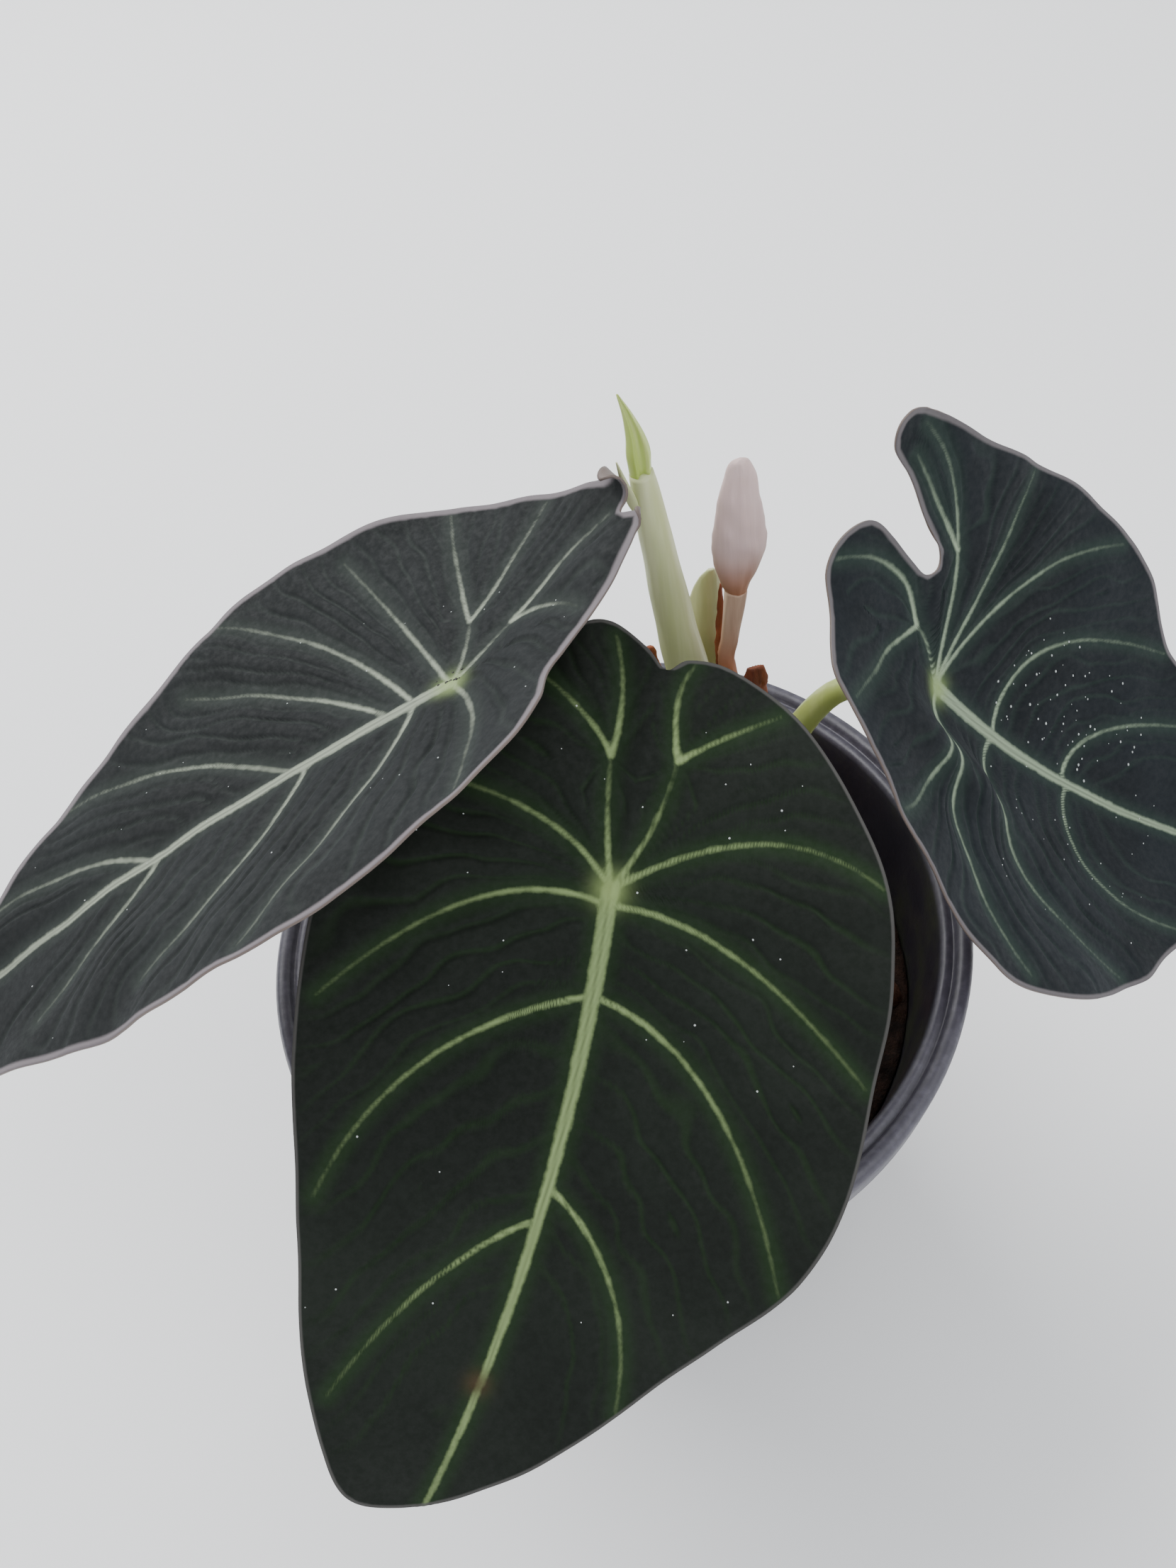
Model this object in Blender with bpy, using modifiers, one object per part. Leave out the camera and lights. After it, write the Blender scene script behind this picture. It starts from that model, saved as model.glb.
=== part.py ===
# Alocasia 'Black Velvet' house plant in its plastic nursery pot.
# Written in metres, +Z up. The origin is the centre of the pot's underside.
# Leaf outlines and veins are given on each leaf's own flat plane, in millimetres:
# u runs from the petiole's joint (the hub) to the tip, v runs across.

import math

import bmesh
import bpy
import numpy as np
from mathutils import Vector

MM = 0.001

# driving dimensions, in millimetres
POT_RIM_RADIUS = 56.0
POT_HEIGHT = 92.0
POT_BASE_RADIUS = 39.5
POT_WALL = 1.6
POT_FLOOR = 2.2
POT_FACETS = 56
DRAIN_HOLES = 6
DRAIN_RADIUS = 3.2
DRAIN_CIRCLE = 29.0
SOIL_LEVEL = 72.0
SOIL_BUMP = 1.5
BLADE_THICKNESS = 0.8
BLADE_SPOKES = 54
BLADE_RINGS = 12
STEM_GAP = 0.3

# base colours (linear) and surface of each material
COLOURS = {
    "pot_plastic": (0.028, 0.026, 0.036, 0.42),
    "potting_mix": (0.040, 0.022, 0.016, 0.95),
    "velvet_leaf": (0.020, 0.034, 0.026, 0.80),
    "petiole_green": (0.42, 0.50, 0.14, 0.50),
    "sheath_cream": (0.55, 0.58, 0.30, 0.55),
    "new_leaf_green": (0.42, 0.55, 0.13, 0.50),
    "spathe_pink": (0.62, 0.45, 0.42, 0.70),
    "dry_brown": (0.36, 0.13, 0.06, 0.85),
}

# each leaf: where its hub is, the directions of its midrib, its width and its upper face,
# how its plane is bent, its outline from the tip round to the tip, and its veins
LEAVES = {
    "front": {
        "hub": (0.3, -17.4, 126.7),
        "size": 1.0,
        "along": (-0.434, -0.711, -0.553),
        "face": (0.0, -0.614, 0.789),
        "bend": {"uu": -0.03, "vv": 0.06, "fold": 0.05, "lobe": -0.2, "droop": 13.0},
        "outline": [
            (88, -7), (83.5, 1.5), (76.5, 9.5), (66, 19), (53, 29), (43, 36), (31, 39), (18, 39.2),
            (5, 38.2), (-9, 34.5), (-20, 27), (-28, 18.5), (-32, 9), (-32, 3), (-30, 0.3),
            (-32.5, -3), (-34.8, -8.5), (-33, -13), (-26, -19), (-16, -25), (-4, -31),
            (8, -36.4), (22, -35.8), (38, -32.6), (55, -28.3), (70, -24), (81, -19.2), (88, -14),
        ],
        "veins": [
            ((0, 0), (45, 1.4), (87, -4)),
            ((0, 0), (-9, -2.6), (-17, -4.1)),
            ((-17, -4.1), (-21.5, -8.8), (-25.5, -16)),
            ((-17, -4.1), (-25.5, -4.6), (-33, -7.3)),
            ((0, 0), (-9, 3.4), (-18.3, 4.6)),
            ((-18.3, 4.6), (-22.5, 9.5), (-27.5, 16.5)),
            ((-18.3, 4.6), (-26, 2.8), (-31.5, 4)),
            ((0, 0), (-7, -10.9), (-9, -27)),
            ((2, -0.5), (5.5, -17), (22, -33.4)),
            ((14.5, 0), (28, -18.5), (48, -27.8)),
            ((45, 0.5), (57, -11), (74, -20)),
            ((0, 0), (-10.5, 17.6), (-8.7, 33.9)),
            ((2, 1), (4.6, 18), (16.8, 38)),
            ((14, 1), (23, 19), (45.5, 33.7)),
            ((40, 2), (51, 13), (67, 17.5)),
        ],
    },
    "left": {
        "hub": (-14.8, 7.9, 143.7),
        "size": 0.975,
        "along": (-0.944, -0.126, -0.306),
        "face": (-0.327, 0.227, 0.917),
        "bend": {"uu": -0.02, "uuu": -0.01, "vv": 0.13, "uv": -0.07, "uvv": -0.02, "uuv": -0.08,
                 "vvv": -0.10, "fold": 0.10, "uuvv": -0.03, "lobe": 0.21, "lobe_v": -0.20},
        "outline": [
            (103, 2), (96, 9.5), (82, 17), (71, 21.6), (59, 26), (48, 29.5), (36, 31.8), (22, 34),
            (10, 32.5), (-2, 29), (-9, 25), (-13, 20), (-14.8, 12.5), (-19.5, 6.5), (-26.5, 1),
            (-31, -2.4), (-33.5, -5), (-31, -8.3), (-34, -10.6), (-31, -15), (-24, -23),
            (-14, -30.5), (-4.6, -35.6), (8, -38.8), (21, -39.8), (32, -37.6), (48, -28.4),
            (67, -20.6), (81, -11.3), (95, -5),
        ],
        "veins": [
            ((0, 0), (50, -1), (101, 1)),
            ((0, 0), (5.5, -19), (11, -35)),
            ((6, -1), (18, -22), (34, -35.5)),
            ((10, -1), (24, -15.5), (42, -26)),
            ((26, -1), (45, -14.5), (68, -20)),
            ((51, -1), (66, -8), (84, -9.5)),
            ((0, 0), (-3, -5.5), (-4.9, -11)),
            ((-4.9, -11), (-5.4, -20.7), (-7.5, -33)),
            ((-4.9, -11), (-13.5, -16.7), (-22, -23)),
            ((0, 0), (-6, -3.4), (-10.8, -5.6)),
            ((-10.8, -5.6), (-21, -9.6), (-29.5, -10)),
            ((-10.8, -5.6), (-16.3, -4), (-20.5, 1.5)),
            ((0, 0), (-2.8, 12), (0, 28)),
            ((6, 0), (16, 16), (33, 30)),
            ((24, 0), (35, 12.8), (52, 21)),
            ((50, -1), (58, 5), (73, 14)),
        ],
    },
    "right": {
        "hub": (54.3, 11.9, 118.0),
        "size": 1.0,
        "along": (0.563, -0.053, -0.825),
        "face": (0.677, -0.543, 0.497),
        "bend": {"uu": 0.13, "uuu": 0.02, "uv": -0.05, "uvv": 0.01, "vvv": 0.01, "fold": 0.37,
                 "lobe": -0.05, "lobe_v": 0.09},
        "outline": [
            (90, 7), (82, 12.5), (70, 19.5), (58, 25), (46, 29.3), (36, 34.5), (25, 38.1),
            (14, 39), (4, 37.6), (-7, 34), (-19.5, 28.9, 6.2), (-28, 26.3, 14.3), (-33, 24, 19),
            (-34.6, 20.8, 22), (-32.5, 18.6, 21.2), (-27, 18.2, 16.1), (-20, 16.2, 10.2),
            (-14, 14.8, 5.2), (-12.3, 12.4, 3.6), (-15, 10.3), (-24, 10.4), (-29.5, 9.6),
            (-32.3, 5.5), (-31.5, 1), (-28.6, -4), (-28, -12), (-24, -16), (-16.3, -22.2),
            (-9, -28.8), (-1.6, -33), (6, -37.4), (15, -39.9), (26, -38.3), (38, -34),
            (49, -27.8), (59, -18.5), (70, -10), (82, -1),
        ],
        "veins": [
            ((0, 0), (40, 1.2), (88, 7)),
            ((0, 0), (-5, 3.8), (-9.5, 5)),
            ((-9.5, 5), (-20, 8), (-31, 3)),
            ((-9.5, 5), (-14, -1.5), (-23, -14)),
            ((0, 0), (-12, 18.7), (-30, 24)),
            ((-10, 17), (-18.5, 18.8), (-28, 20.5)),
            ((0, 0), (-1, 20), (-4, 34)),
            ((0, 0), (7.5, 22), (22, 37)),
            ((16.5, 1), (20, 17.5), (44, 29)),
            ((35.5, 1.5), (40, 12.5), (60, 22)),
            ((16.4, 0), (18.5, -18), (43.7, -29.4)),
            ((36.6, 0), (41.5, -13.5), (61, -15)),
            ((0, 0), (5, -22.5), (19, -37.5)),
            ((0, 0), (-3, -16), (-11, -25)),
        ],
    },
}

# stems: centre points and radii in millimetres, from below the soil upwards
FRONT_PETIOLE = [(17, 11, 62, 3.0), (17, 11, 70, 2.9), (17, 11, 77, 2.8), (15, 4, 98, 2.5),
                 (9, -7, 116, 2.2)]
LEFT_PETIOLE = [(14.5, 22, 62, 3.1), (14.5, 22, 70, 3.0), (14.5, 22, 77, 2.9), (8, 26, 104, 2.5),
                (-4, 25, 126, 2.1), (-11, 17, 136.5, 1.9)]
RIGHT_PETIOLE = [(27, 13, 62, 2.9), (27, 13, 70, 2.8), (27, 13, 77, 2.7), (31, 18, 97, 2.3),
                 (41, 19, 113, 2.0)]
SHOOT = [(23.5, 28, 62, 4.3), (23.5, 28, 70, 4.3), (23.5, 28, 77, 4.3), (21.3, 27.5, 104, 3.7),
         (19.2, 27, 119, 3.3), (17.6, 27, 134, 2.8), (16.7, 27, 144.4, 2.4),
         (16.0, 27, 152.5, 2.0), (15.6, 27, 156.5, 1.7)]
SPATHE_STALK = [(31, 20, 62, 1.9), (31, 20, 70, 1.9), (31, 20, 77, 1.8), (27.6, 22.5, 103, 1.5),
                (25.3, 24, 118.6, 1.3), (25.9, 24, 124.8, 1.3), (26.8, 24, 131.3, 1.5),
                (27.2, 24, 134.2, 1.5)]


def clear_scene():
    for item in list(bpy.data.objects):
        bpy.data.objects.remove(item, do_unlink=True)


def make_collection(name):
    made = bpy.data.collections.new(name)
    bpy.context.scene.collection.children.link(made)
    return made


def make_material(name):
    red, green, blue, rough = COLOURS[name]
    made = bpy.data.materials.new(name)
    made.use_nodes = True
    shader = made.node_tree.nodes["Principled BSDF"]
    shader.inputs["Base Color"].default_value = (red, green, blue, 1.0)
    shader.inputs["Roughness"].default_value = rough
    shader.inputs["Metallic"].default_value = 0.0
    made.diffuse_color = (red, green, blue, 1.0)
    return made


def add_object(name, mesh, material, group, smooth=True):
    made = bpy.data.objects.new(name, mesh)
    group.objects.link(made)
    if material is not None:
        mesh.materials.append(material)
    for face in mesh.polygons:
        face.use_smooth = smooth
    return made


def mesh_from_bmesh(bm, name):
    bmesh.ops.recalc_face_normals(bm, faces=bm.faces)
    mesh = bpy.data.meshes.new(name)
    bm.to_mesh(mesh)
    bm.free()
    return mesh


def cut(item, cutter):
    step = item.modifiers.new("cut " + cutter.name, "BOOLEAN")
    step.operation = "DIFFERENCE"
    step.solver = "EXACT"
    step.object = cutter


def add_cutter(name, mesh, group):
    made = bpy.data.objects.new(name, mesh)
    group.objects.link(made)
    made.hide_render = True
    made.display_type = "WIRE"
    return made


def lathe(name, profile, facets, group, material):
    # the profile starts on the axis, runs round the outside and comes back to the axis
    bm = bmesh.new()
    points = [bm.verts.new((r * MM, 0.0, z * MM)) for r, z in profile]
    for first, second in zip(points, points[1:]):
        bm.edges.new((first, second))
    mesh = bpy.data.meshes.new(name)
    bm.to_mesh(mesh)
    bm.free()
    made = add_object(name, mesh, material, group)
    turn = made.modifiers.new("turn", "SCREW")
    turn.angle = math.tau
    turn.steps = facets
    turn.render_steps = facets
    turn.use_merge_vertices = True
    turn.merge_threshold = 0.00005
    turn.use_smooth_shade = True
    return made


# pot

def build_pot(group, cutters):
    rim, height, base = POT_RIM_RADIUS, POT_HEIGHT, POT_BASE_RADIUS
    inner_base = base - POT_WALL
    profile = [
        (0, 0), (base - 1.5, 0), (base, 1.2), (rim - 3.9, height - 9.0), (rim - 0.9, height - 8.2),
        (rim, height - 1.4), (rim - 0.7, height), (rim - 2.6, height), (rim - 3.0, height - 0.9),
        (rim - 4.9, height - 1.3), (rim - 5.6, height - 3.0), (inner_base, POT_FLOOR),
        (0, POT_FLOOR),
    ]
    pot = lathe("pot", profile, POT_FACETS, group, make_material("pot_plastic"))
    for count in range(DRAIN_HOLES):
        angle = math.tau * (count + 0.5) / DRAIN_HOLES
        bm = bmesh.new()
        bmesh.ops.create_cone(bm, cap_ends=True, segments=14, radius1=DRAIN_RADIUS * MM,
                              radius2=DRAIN_RADIUS * MM, depth=8 * MM)
        hole = add_cutter("drain_cutter_%d" % (count + 1), mesh_from_bmesh(bm, "drain"), cutters)
        hole.location = (DRAIN_CIRCLE * MM * math.cos(angle),
                         DRAIN_CIRCLE * MM * math.sin(angle), 1 * MM)
        cut(pot, hole)
    return pot


# potting mix, with a plain hole for every stem

def build_soil(group, cutters, stems):
    spokes, rings = 44, 9
    inner_base = POT_BASE_RADIUS - POT_WALL
    slope = (POT_RIM_RADIUS - 5.6 - inner_base) / (POT_HEIGHT - 3.0 - POT_FLOOR)
    top_radius = inner_base + slope * (SOIL_LEVEL - POT_FLOOR) - 0.5
    bottom = POT_FLOOR + 0.3
    bottom_radius = inner_base + slope * (bottom - POT_FLOOR) - 0.5
    bm = bmesh.new()
    bmesh.ops.create_circle(bm, cap_ends=True, cap_tris=False, segments=spokes,
                            radius=top_radius * MM)
    for ring in range(1, rings):
        face = max(bm.faces, key=lambda item: len(item.verts))
        share = (rings - ring) / (rings - ring + 1.0)
        bmesh.ops.inset_individual(bm, faces=[face], thickness=0.0)
        face = max(bm.faces, key=lambda item: len(item.verts))
        bmesh.ops.scale(bm, vec=(share, share, 1), verts=face.verts)
    middle = [item for item in bm.faces if len(item.verts) > 4]
    bmesh.ops.poke(bm, faces=middle)
    rim_edges = [edge for edge in bm.edges if len(edge.link_faces) == 1]
    made = bmesh.ops.extrude_edge_only(bm, edges=rim_edges)
    low = [item for item in made["geom"] if isinstance(item, bmesh.types.BMVert)]
    top = [item for item in bm.verts if item not in set(low)]
    for item in top:
        x, y = item.co.x / MM, item.co.y / MM
        reach = math.hypot(x, y)
        lump = (math.sin(0.71 * x + 0.4) * math.cos(0.63 * y - 0.9)
                + 0.7 * math.sin(0.37 * x - 0.52 * y + 1.3))
        heap = 1.2 * math.exp(-((x - 22) ** 2 + (y - 20) ** 2) / 180.0)
        item.co.z = (SOIL_LEVEL + SOIL_BUMP * 0.6 * lump * min(1.0, (top_radius + 6 - reach) / 12)
                     + heap) * MM
    factor = bottom_radius / top_radius
    for item in low:
        item.co.x *= factor
        item.co.y *= factor
        item.co.z = bottom * MM
    bmesh.ops.contextual_create(bm, geom=low)
    soil = add_object("potting_mix", mesh_from_bmesh(bm, "potting_mix"),
                      make_material("potting_mix"), group, smooth=False)
    for name, (x, y, z, radius) in stems.items():
        bm = bmesh.new()
        bmesh.ops.create_cone(bm, cap_ends=True, segments=18, radius1=(radius + STEM_GAP) * MM,
                              radius2=(radius + STEM_GAP + 1.0) * MM, depth=24 * MM)
        hole = add_cutter(name + "_hole", mesh_from_bmesh(bm, name), cutters)
        hole.location = (x * MM, y * MM, (z - STEM_GAP + 12) * MM)
        cut(soil, hole)
    return soil


# leaf blades

def closed_curve(points, count):
    # a smooth closed line through the points, in steps of equal length
    table = np.array([tuple(p) + (0,) * (3 - len(p)) for p in points], float)
    before, after = np.roll(table, 1, 0), np.roll(table, -1, 0)
    second = np.roll(table, -2, 0)
    fine = []
    for step in np.linspace(0, 1, 12, endpoint=False):
        fine.append(0.5 * (2 * table + (after - before) * step
                           + (2 * before - 5 * table + 4 * after - second) * step ** 2
                           + (3 * table - before - 3 * after + second) * step ** 3))
    fine = np.stack(fine, 1).reshape(-1, 3)
    loop = np.vstack([fine, fine[:1]])
    length = np.hypot(*np.diff(loop[:, :2], axis=0).T)
    walked = np.concatenate([[0], np.cumsum(length)])
    want = np.linspace(0, walked[-1], count, endpoint=False)
    return np.stack([np.interp(want, walked, loop[:, k]) for k in range(3)], 1)


def leaf_axes(leaf):
    along = Vector(leaf["along"]).normalized()
    face = Vector(leaf["face"])
    face = (face - along * face.dot(along)).normalized()
    return along, face.cross(along), face


def vein_points(leaf):
    found = []
    for start, middle, end in leaf["veins"]:
        a, b, c = (np.array(p, float) for p in (start, middle, end))
        pull = 2 * b - 0.5 * (a + c)
        for t in np.linspace(0, 1, 26):
            found.append((1 - t) ** 2 * a + 2 * t * (1 - t) * pull + t * t * c)
    return np.array(found)


def bent_height(bend, u, v):
    # height of the blade above its plane: smooth bends, a fold along the midrib, curled lobes
    a, b = u / 50.0, v / 50.0
    low = min(a, 0.0)
    get = bend.get
    droop = get("droop", 0) * (max(0.0, -v - 10) / 25) ** 2 * (max(0.0, 10 - u) / 30) ** 2
    bends = (get("uu", 0) * a * a + get("uuu", 0) * a ** 3 + get("vv", 0) * b * b
             + get("uv", 0) * a * b + get("uvv", 0) * a * b * b + get("uuv", 0) * a * a * b
             + get("vvv", 0) * b ** 3 + get("fold", 0) * (math.sqrt(b * b + 0.01) - 0.1)
             + get("uuvv", 0) * a * a * b * b + get("lobe", 0) * low * low
             + get("lobe_v", 0) * low * low * b)
    return 50.0 * bends - droop


def build_blade(key, group, material):
    leaf = LEAVES[key]
    along, across, face = leaf_axes(leaf)
    hub = Vector(leaf["hub"])
    edge = closed_curve(leaf["outline"], BLADE_SPOKES)
    veins = vein_points(leaf)
    bm = bmesh.new()
    bmesh.ops.create_grid(bm, x_segments=BLADE_SPOKES, y_segments=BLADE_RINGS, size=1.0)
    bm.verts.ensure_lookup_table()
    for item in bm.verts:
        spoke = int(round((item.co.x + 1) * 0.5 * BLADE_SPOKES)) % BLADE_SPOKES
        share = ((item.co.y + 1) * 0.5) ** 0.88
        u, v, bow = edge[spoke]
        keep = 2 * share * (1 - share)
        flat_u = keep * 0.5 * u + share * share * u
        flat_v = keep * (0.5 * v + bow) + share * share * v
        gap = math.sqrt(np.min((veins[:, 0] - flat_u) ** 2 + (veins[:, 1] - flat_v) ** 2))
        puff = 1.3 * (1 - math.exp(-gap / 3.5)) * (1 - 0.6 * share ** 6)
        wave = 0.7 * share ** 5 * math.sin(spoke * math.tau * 7 / BLADE_SPOKES + len(key))
        height = bent_height(leaf["bend"], flat_u, flat_v) + puff + wave
        place = along * flat_u + across * flat_v + face * height
        item.co = (hub + place * leaf["size"]) * MM
    bmesh.ops.remove_doubles(bm, verts=bm.verts, dist=0.02 * MM)
    bmesh.ops.triangulate(bm, faces=bm.faces)
    mesh = bpy.data.meshes.new("leaf_%s_blade" % key)
    bm.to_mesh(mesh)
    bm.free()
    blade = add_object("leaf_%s_blade" % key, mesh, material, group)
    normal = sum((Vector(p.normal) for p in mesh.polygons), Vector())
    if normal.dot(face) < 0:
        mesh.flip_normals()
    skin = blade.modifiers.new("thickness", "SOLIDIFY")
    skin.thickness = BLADE_THICKNESS * MM
    skin.offset = -1.0
    skin.use_even_offset = False
    return blade


# round stems: a curve with a bevel, and a radius at each point

def build_stem(name, points, group, material, tip=None, facets=3):
    curve = bpy.data.curves.new(name, "CURVE")
    curve.dimensions = "3D"
    curve.bevel_depth = 1.0 * MM
    curve.bevel_resolution = facets
    curve.use_fill_caps = True
    fine = smooth_path(points + ([tip] if tip else []), 5)
    line = curve.splines.new("POLY")
    line.points.add(len(fine) - 1)
    for knot, (x, y, z, radius) in zip(line.points, fine):
        knot.co = (x * MM, y * MM, z * MM, 1.0)
        knot.radius = radius
    holder = bpy.data.objects.new(name + "_path", curve)
    group.objects.link(holder)
    graph = bpy.context.evaluated_depsgraph_get()
    mesh = bpy.data.meshes.new_from_object(holder.evaluated_get(graph))
    bpy.data.objects.remove(holder, do_unlink=True)
    bm = bmesh.new()
    bm.from_mesh(mesh)
    bmesh.ops.remove_doubles(bm, verts=bm.verts, dist=0.01 * MM)
    mesh = mesh_from_bmesh(bm, name)
    return add_object(name, mesh, material, group)


def smooth_path(points, steps):
    table = np.array(points, float)
    padded = np.vstack([2 * table[0] - table[1], table, 2 * table[-1] - table[-2]])
    fine = []
    for k in range(len(table) - 1):
        p0, p1, p2, p3 = padded[k:k + 4]
        for step in np.linspace(0, 1, steps, endpoint=False):
            fine.append(0.5 * (2 * p1 + (p2 - p0) * step + (2 * p0 - 5 * p1 + 4 * p2 - p3) * step ** 2
                               + (3 * p1 - p0 - 3 * p2 + p3) * step ** 3))
    fine.append(table[-1])
    return [tuple(float(q) for q in p) for p in fine]


# flat pieces such as bracts: a row of flattened rings, pinched to a tip

def build_scale(name, rows, group, material, sides=12):
    # each row: centre x, y, z, half width, half thickness, turn about Z in degrees
    bm = bmesh.new()
    rings = []
    for x, y, z, wide, thick, turn in rows:
        spin = math.radians(turn)
        ring = []
        for k in range(sides):
            angle = math.tau * k / sides
            a, b = wide * math.cos(angle), thick * math.sin(angle)
            b += 0.18 * a * a / max(wide, 0.1)
            ring.append(bm.verts.new(((x + a * math.cos(spin) - b * math.sin(spin)) * MM,
                                      (y + a * math.sin(spin) + b * math.cos(spin)) * MM, z * MM)))
        for k in range(sides):
            bm.edges.new((ring[k], ring[(k + 1) % sides]))
        rings.append(ring)
    for low, high in zip(rings, rings[1:]):
        pair = [bm.edges.get((r[k], r[(k + 1) % sides])) for r in (low, high) for k in range(sides)]
        bmesh.ops.bridge_loops(bm, edges=pair)
    bmesh.ops.contextual_create(bm, geom=rings[0])
    bmesh.ops.contextual_create(bm, geom=rings[-1])
    return add_object(name, mesh_from_bmesh(bm, name), material, group)


def petiole_path(key, path):
    # the last point stops just under the blade
    leaf = LEAVES[key]
    along, across, face = leaf_axes(leaf)
    top = Vector(leaf["hub"]) - face * (BLADE_THICKNESS + 2.2)
    return path + [(top.x, top.y, top.z, 1.7)]


def build_plant():
    clear_scene()
    group = make_collection("alocasia_black_velvet")
    cutters = make_collection("cutters")
    paint = {name: make_material(name) for name in COLOURS
             if name not in ("pot_plastic", "potting_mix")}
    build_pot(group, cutters)
    build_soil(group, cutters, {
        "front_petiole": FRONT_PETIOLE[0], "left_petiole": LEFT_PETIOLE[0],
        "right_petiole": RIGHT_PETIOLE[0], "shoot": SHOOT[0], "spathe_stalk": SPATHE_STALK[0],
        "cataphyll": (24.5, 33.9, 62, 3.1), "dry_scale_right": (33.8, 25.5, 62, 2.8),
        "dry_scale_left": (14, 33.5, 62, 2.8),
    })
    for key, path in (("front", FRONT_PETIOLE), ("left", LEFT_PETIOLE),
                      ("right", RIGHT_PETIOLE)):
        build_blade(key, group, paint["velvet_leaf"])
        build_stem("leaf_%s_petiole" % key, petiole_path(key, path), group,
                   paint["petiole_green"])
    build_stem("shoot_sheath", SHOOT, group, paint["sheath_cream"])
    build_scale("shoot_new_leaf", [
        (15.6, 27, 156.9, 1.3, 0.8, 10), (15.6, 27, 159.5, 1.5, 0.9, 10),
        (15.4, 27, 162.5, 1.2, 0.8, 10), (14.7, 27, 166, 0.6, 0.5, 10),
        (13.7, 27, 169.3, 0.15, 0.15, 10)], group, paint["new_leaf_green"])
    build_scale("shoot_bract", [
        (13.9, 25.9, 151.5, 0.5, 0.25, -35), (13.5, 25.8, 154, 0.8, 0.25, -35),
        (12.9, 25.9, 157, 0.5, 0.25, -35), (12.4, 26, 159.8, 0.15, 0.15, -35)],
        group, paint["sheath_cream"])
    build_stem("spathe_stalk", SPATHE_STALK, group, paint["spathe_pink"], facets=2)
    build_scale("spathe", [
        (27.2, 24, 134.6, 1.6, 1.3, 0), (27.5, 24, 138, 3.0, 1.5, 0),
        (28.0, 24, 142, 4.0, 1.7, 0), (28.1, 24, 146, 3.7, 1.7, 0),
        (28.2, 24, 151.5, 2.8, 1.5, 0), (28.4, 24, 155.5, 1.7, 1.1, 0),
        (28.4, 24, 157.9, 0.5, 0.5, 0)], group, paint["spathe_pink"])
    build_scale("cataphyll", [
        (24.5, 33.9, 62, 3.0, 0.8, 0), (24.8, 33.6, 80, 3.0, 0.8, 0),
        (24.6, 32.6, 105, 2.9, 0.7, 0), (23.8, 31.2, 118, 2.6, 0.6, 0),
        (24.2, 30.9, 127, 2.1, 0.5, 0), (25.0, 30.8, 132.8, 0.7, 0.4, 0)],
        group, paint["sheath_cream"])
    build_scale("dry_scale_right", [
        (33.8, 25.5, 62, 2.6, 0.6, 60), (33.5, 25.8, 85, 2.6, 0.6, 60),
        (31.2, 26.3, 104, 2.3, 0.5, 40), (30.2, 26.2, 110.5, 2.3, 0.5, 10),
        (30.4, 26.2, 114, 1.4, 0.5, 0)], group, paint["dry_brown"])
    build_scale("dry_scale_left", [
        (14, 33.5, 62, 2.6, 0.6, 0), (14.4, 33.2, 90, 2.2, 0.6, 0),
        (14.6, 30.5, 110, 1.5, 0.5, 0), (14.2, 28.6, 121, 1.1, 0.4, 0),
        (14.1, 28.2, 125, 0.6, 0.4, 0)],
        group, paint["dry_brown"])


build_plant()
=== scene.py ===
import math
import random

import bmesh
import bpy
import numpy as np
from mathutils import Euler, Matrix, Vector, noise


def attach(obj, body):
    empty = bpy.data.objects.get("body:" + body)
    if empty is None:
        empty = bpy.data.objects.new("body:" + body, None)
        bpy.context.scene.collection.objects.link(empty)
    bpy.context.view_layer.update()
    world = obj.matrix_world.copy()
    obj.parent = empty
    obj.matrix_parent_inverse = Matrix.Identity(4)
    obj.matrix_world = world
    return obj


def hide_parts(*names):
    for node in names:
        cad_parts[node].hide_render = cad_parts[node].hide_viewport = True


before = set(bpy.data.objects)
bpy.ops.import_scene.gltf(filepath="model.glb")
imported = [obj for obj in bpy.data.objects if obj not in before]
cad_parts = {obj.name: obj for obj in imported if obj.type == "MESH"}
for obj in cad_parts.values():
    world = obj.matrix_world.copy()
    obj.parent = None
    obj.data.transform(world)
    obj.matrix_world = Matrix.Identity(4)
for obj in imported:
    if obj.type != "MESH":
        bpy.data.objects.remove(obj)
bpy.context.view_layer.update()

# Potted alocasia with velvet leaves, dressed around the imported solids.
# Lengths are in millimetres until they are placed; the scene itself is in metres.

MM = 0.001

# camera, fitted to the outline of the pot's rim
CAMERA_PLACE = (0.266, -105.843, 263.214)
CAMERA_RIGHT = (0.9794, -0.1593, -0.1241)
CAMERA_UP = (0.2020, 0.7728, 0.6016)
CAMERA_LENS = 28.48
SENSOR_WIDTH = 36.0

# blades: squares of the mesh along and across, and thickness
BLADE_LONG = 270
BLADE_WIDE = 164
BLADE_THICK = 0.35

# steps between two points of an outline, points along a whole outline and along a vein,
# and the midrib's point from which the tip takes part in the ripples
OUTLINE_STEPS = 24
OUTLINE_POINTS = 2400
VEIN_POINTS = 40
TIP_FROM = 27

# half width of a vein at its root, how much of it is gone at its end, and how far a side
# vein's colour fades by there
MIDRIB_HALF = 1.15
MIDRIB_TAPER = 0.90
SIDE_HALF = 0.36
SIDE_TAPER = 0.27
VEIN_FADE = 0.78

# relief of a blade: heights, and the spacing of its ripples and grooves
PUFF_HEIGHT = 1.3
EDGE_WAVE_HEIGHT = 0.7
EDGE_WAVES = 7
RIPPLE_DEPTH = 0.52
RIPPLES_PER_FIELD = 5.2
SWAY_HEIGHT = 0.75
MIDRIB_RISE = 0.55
SIDE_VEIN_RISE = 0.14
GROOVE_DEPTH = 0.07
GROOVE_SPACING = 0.8

# a distance past any vein, and the front leaf's blemish on the flat plane
FAR_AWAY = 60.0
BLEMISH_AT = (68, -1.0)

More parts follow.
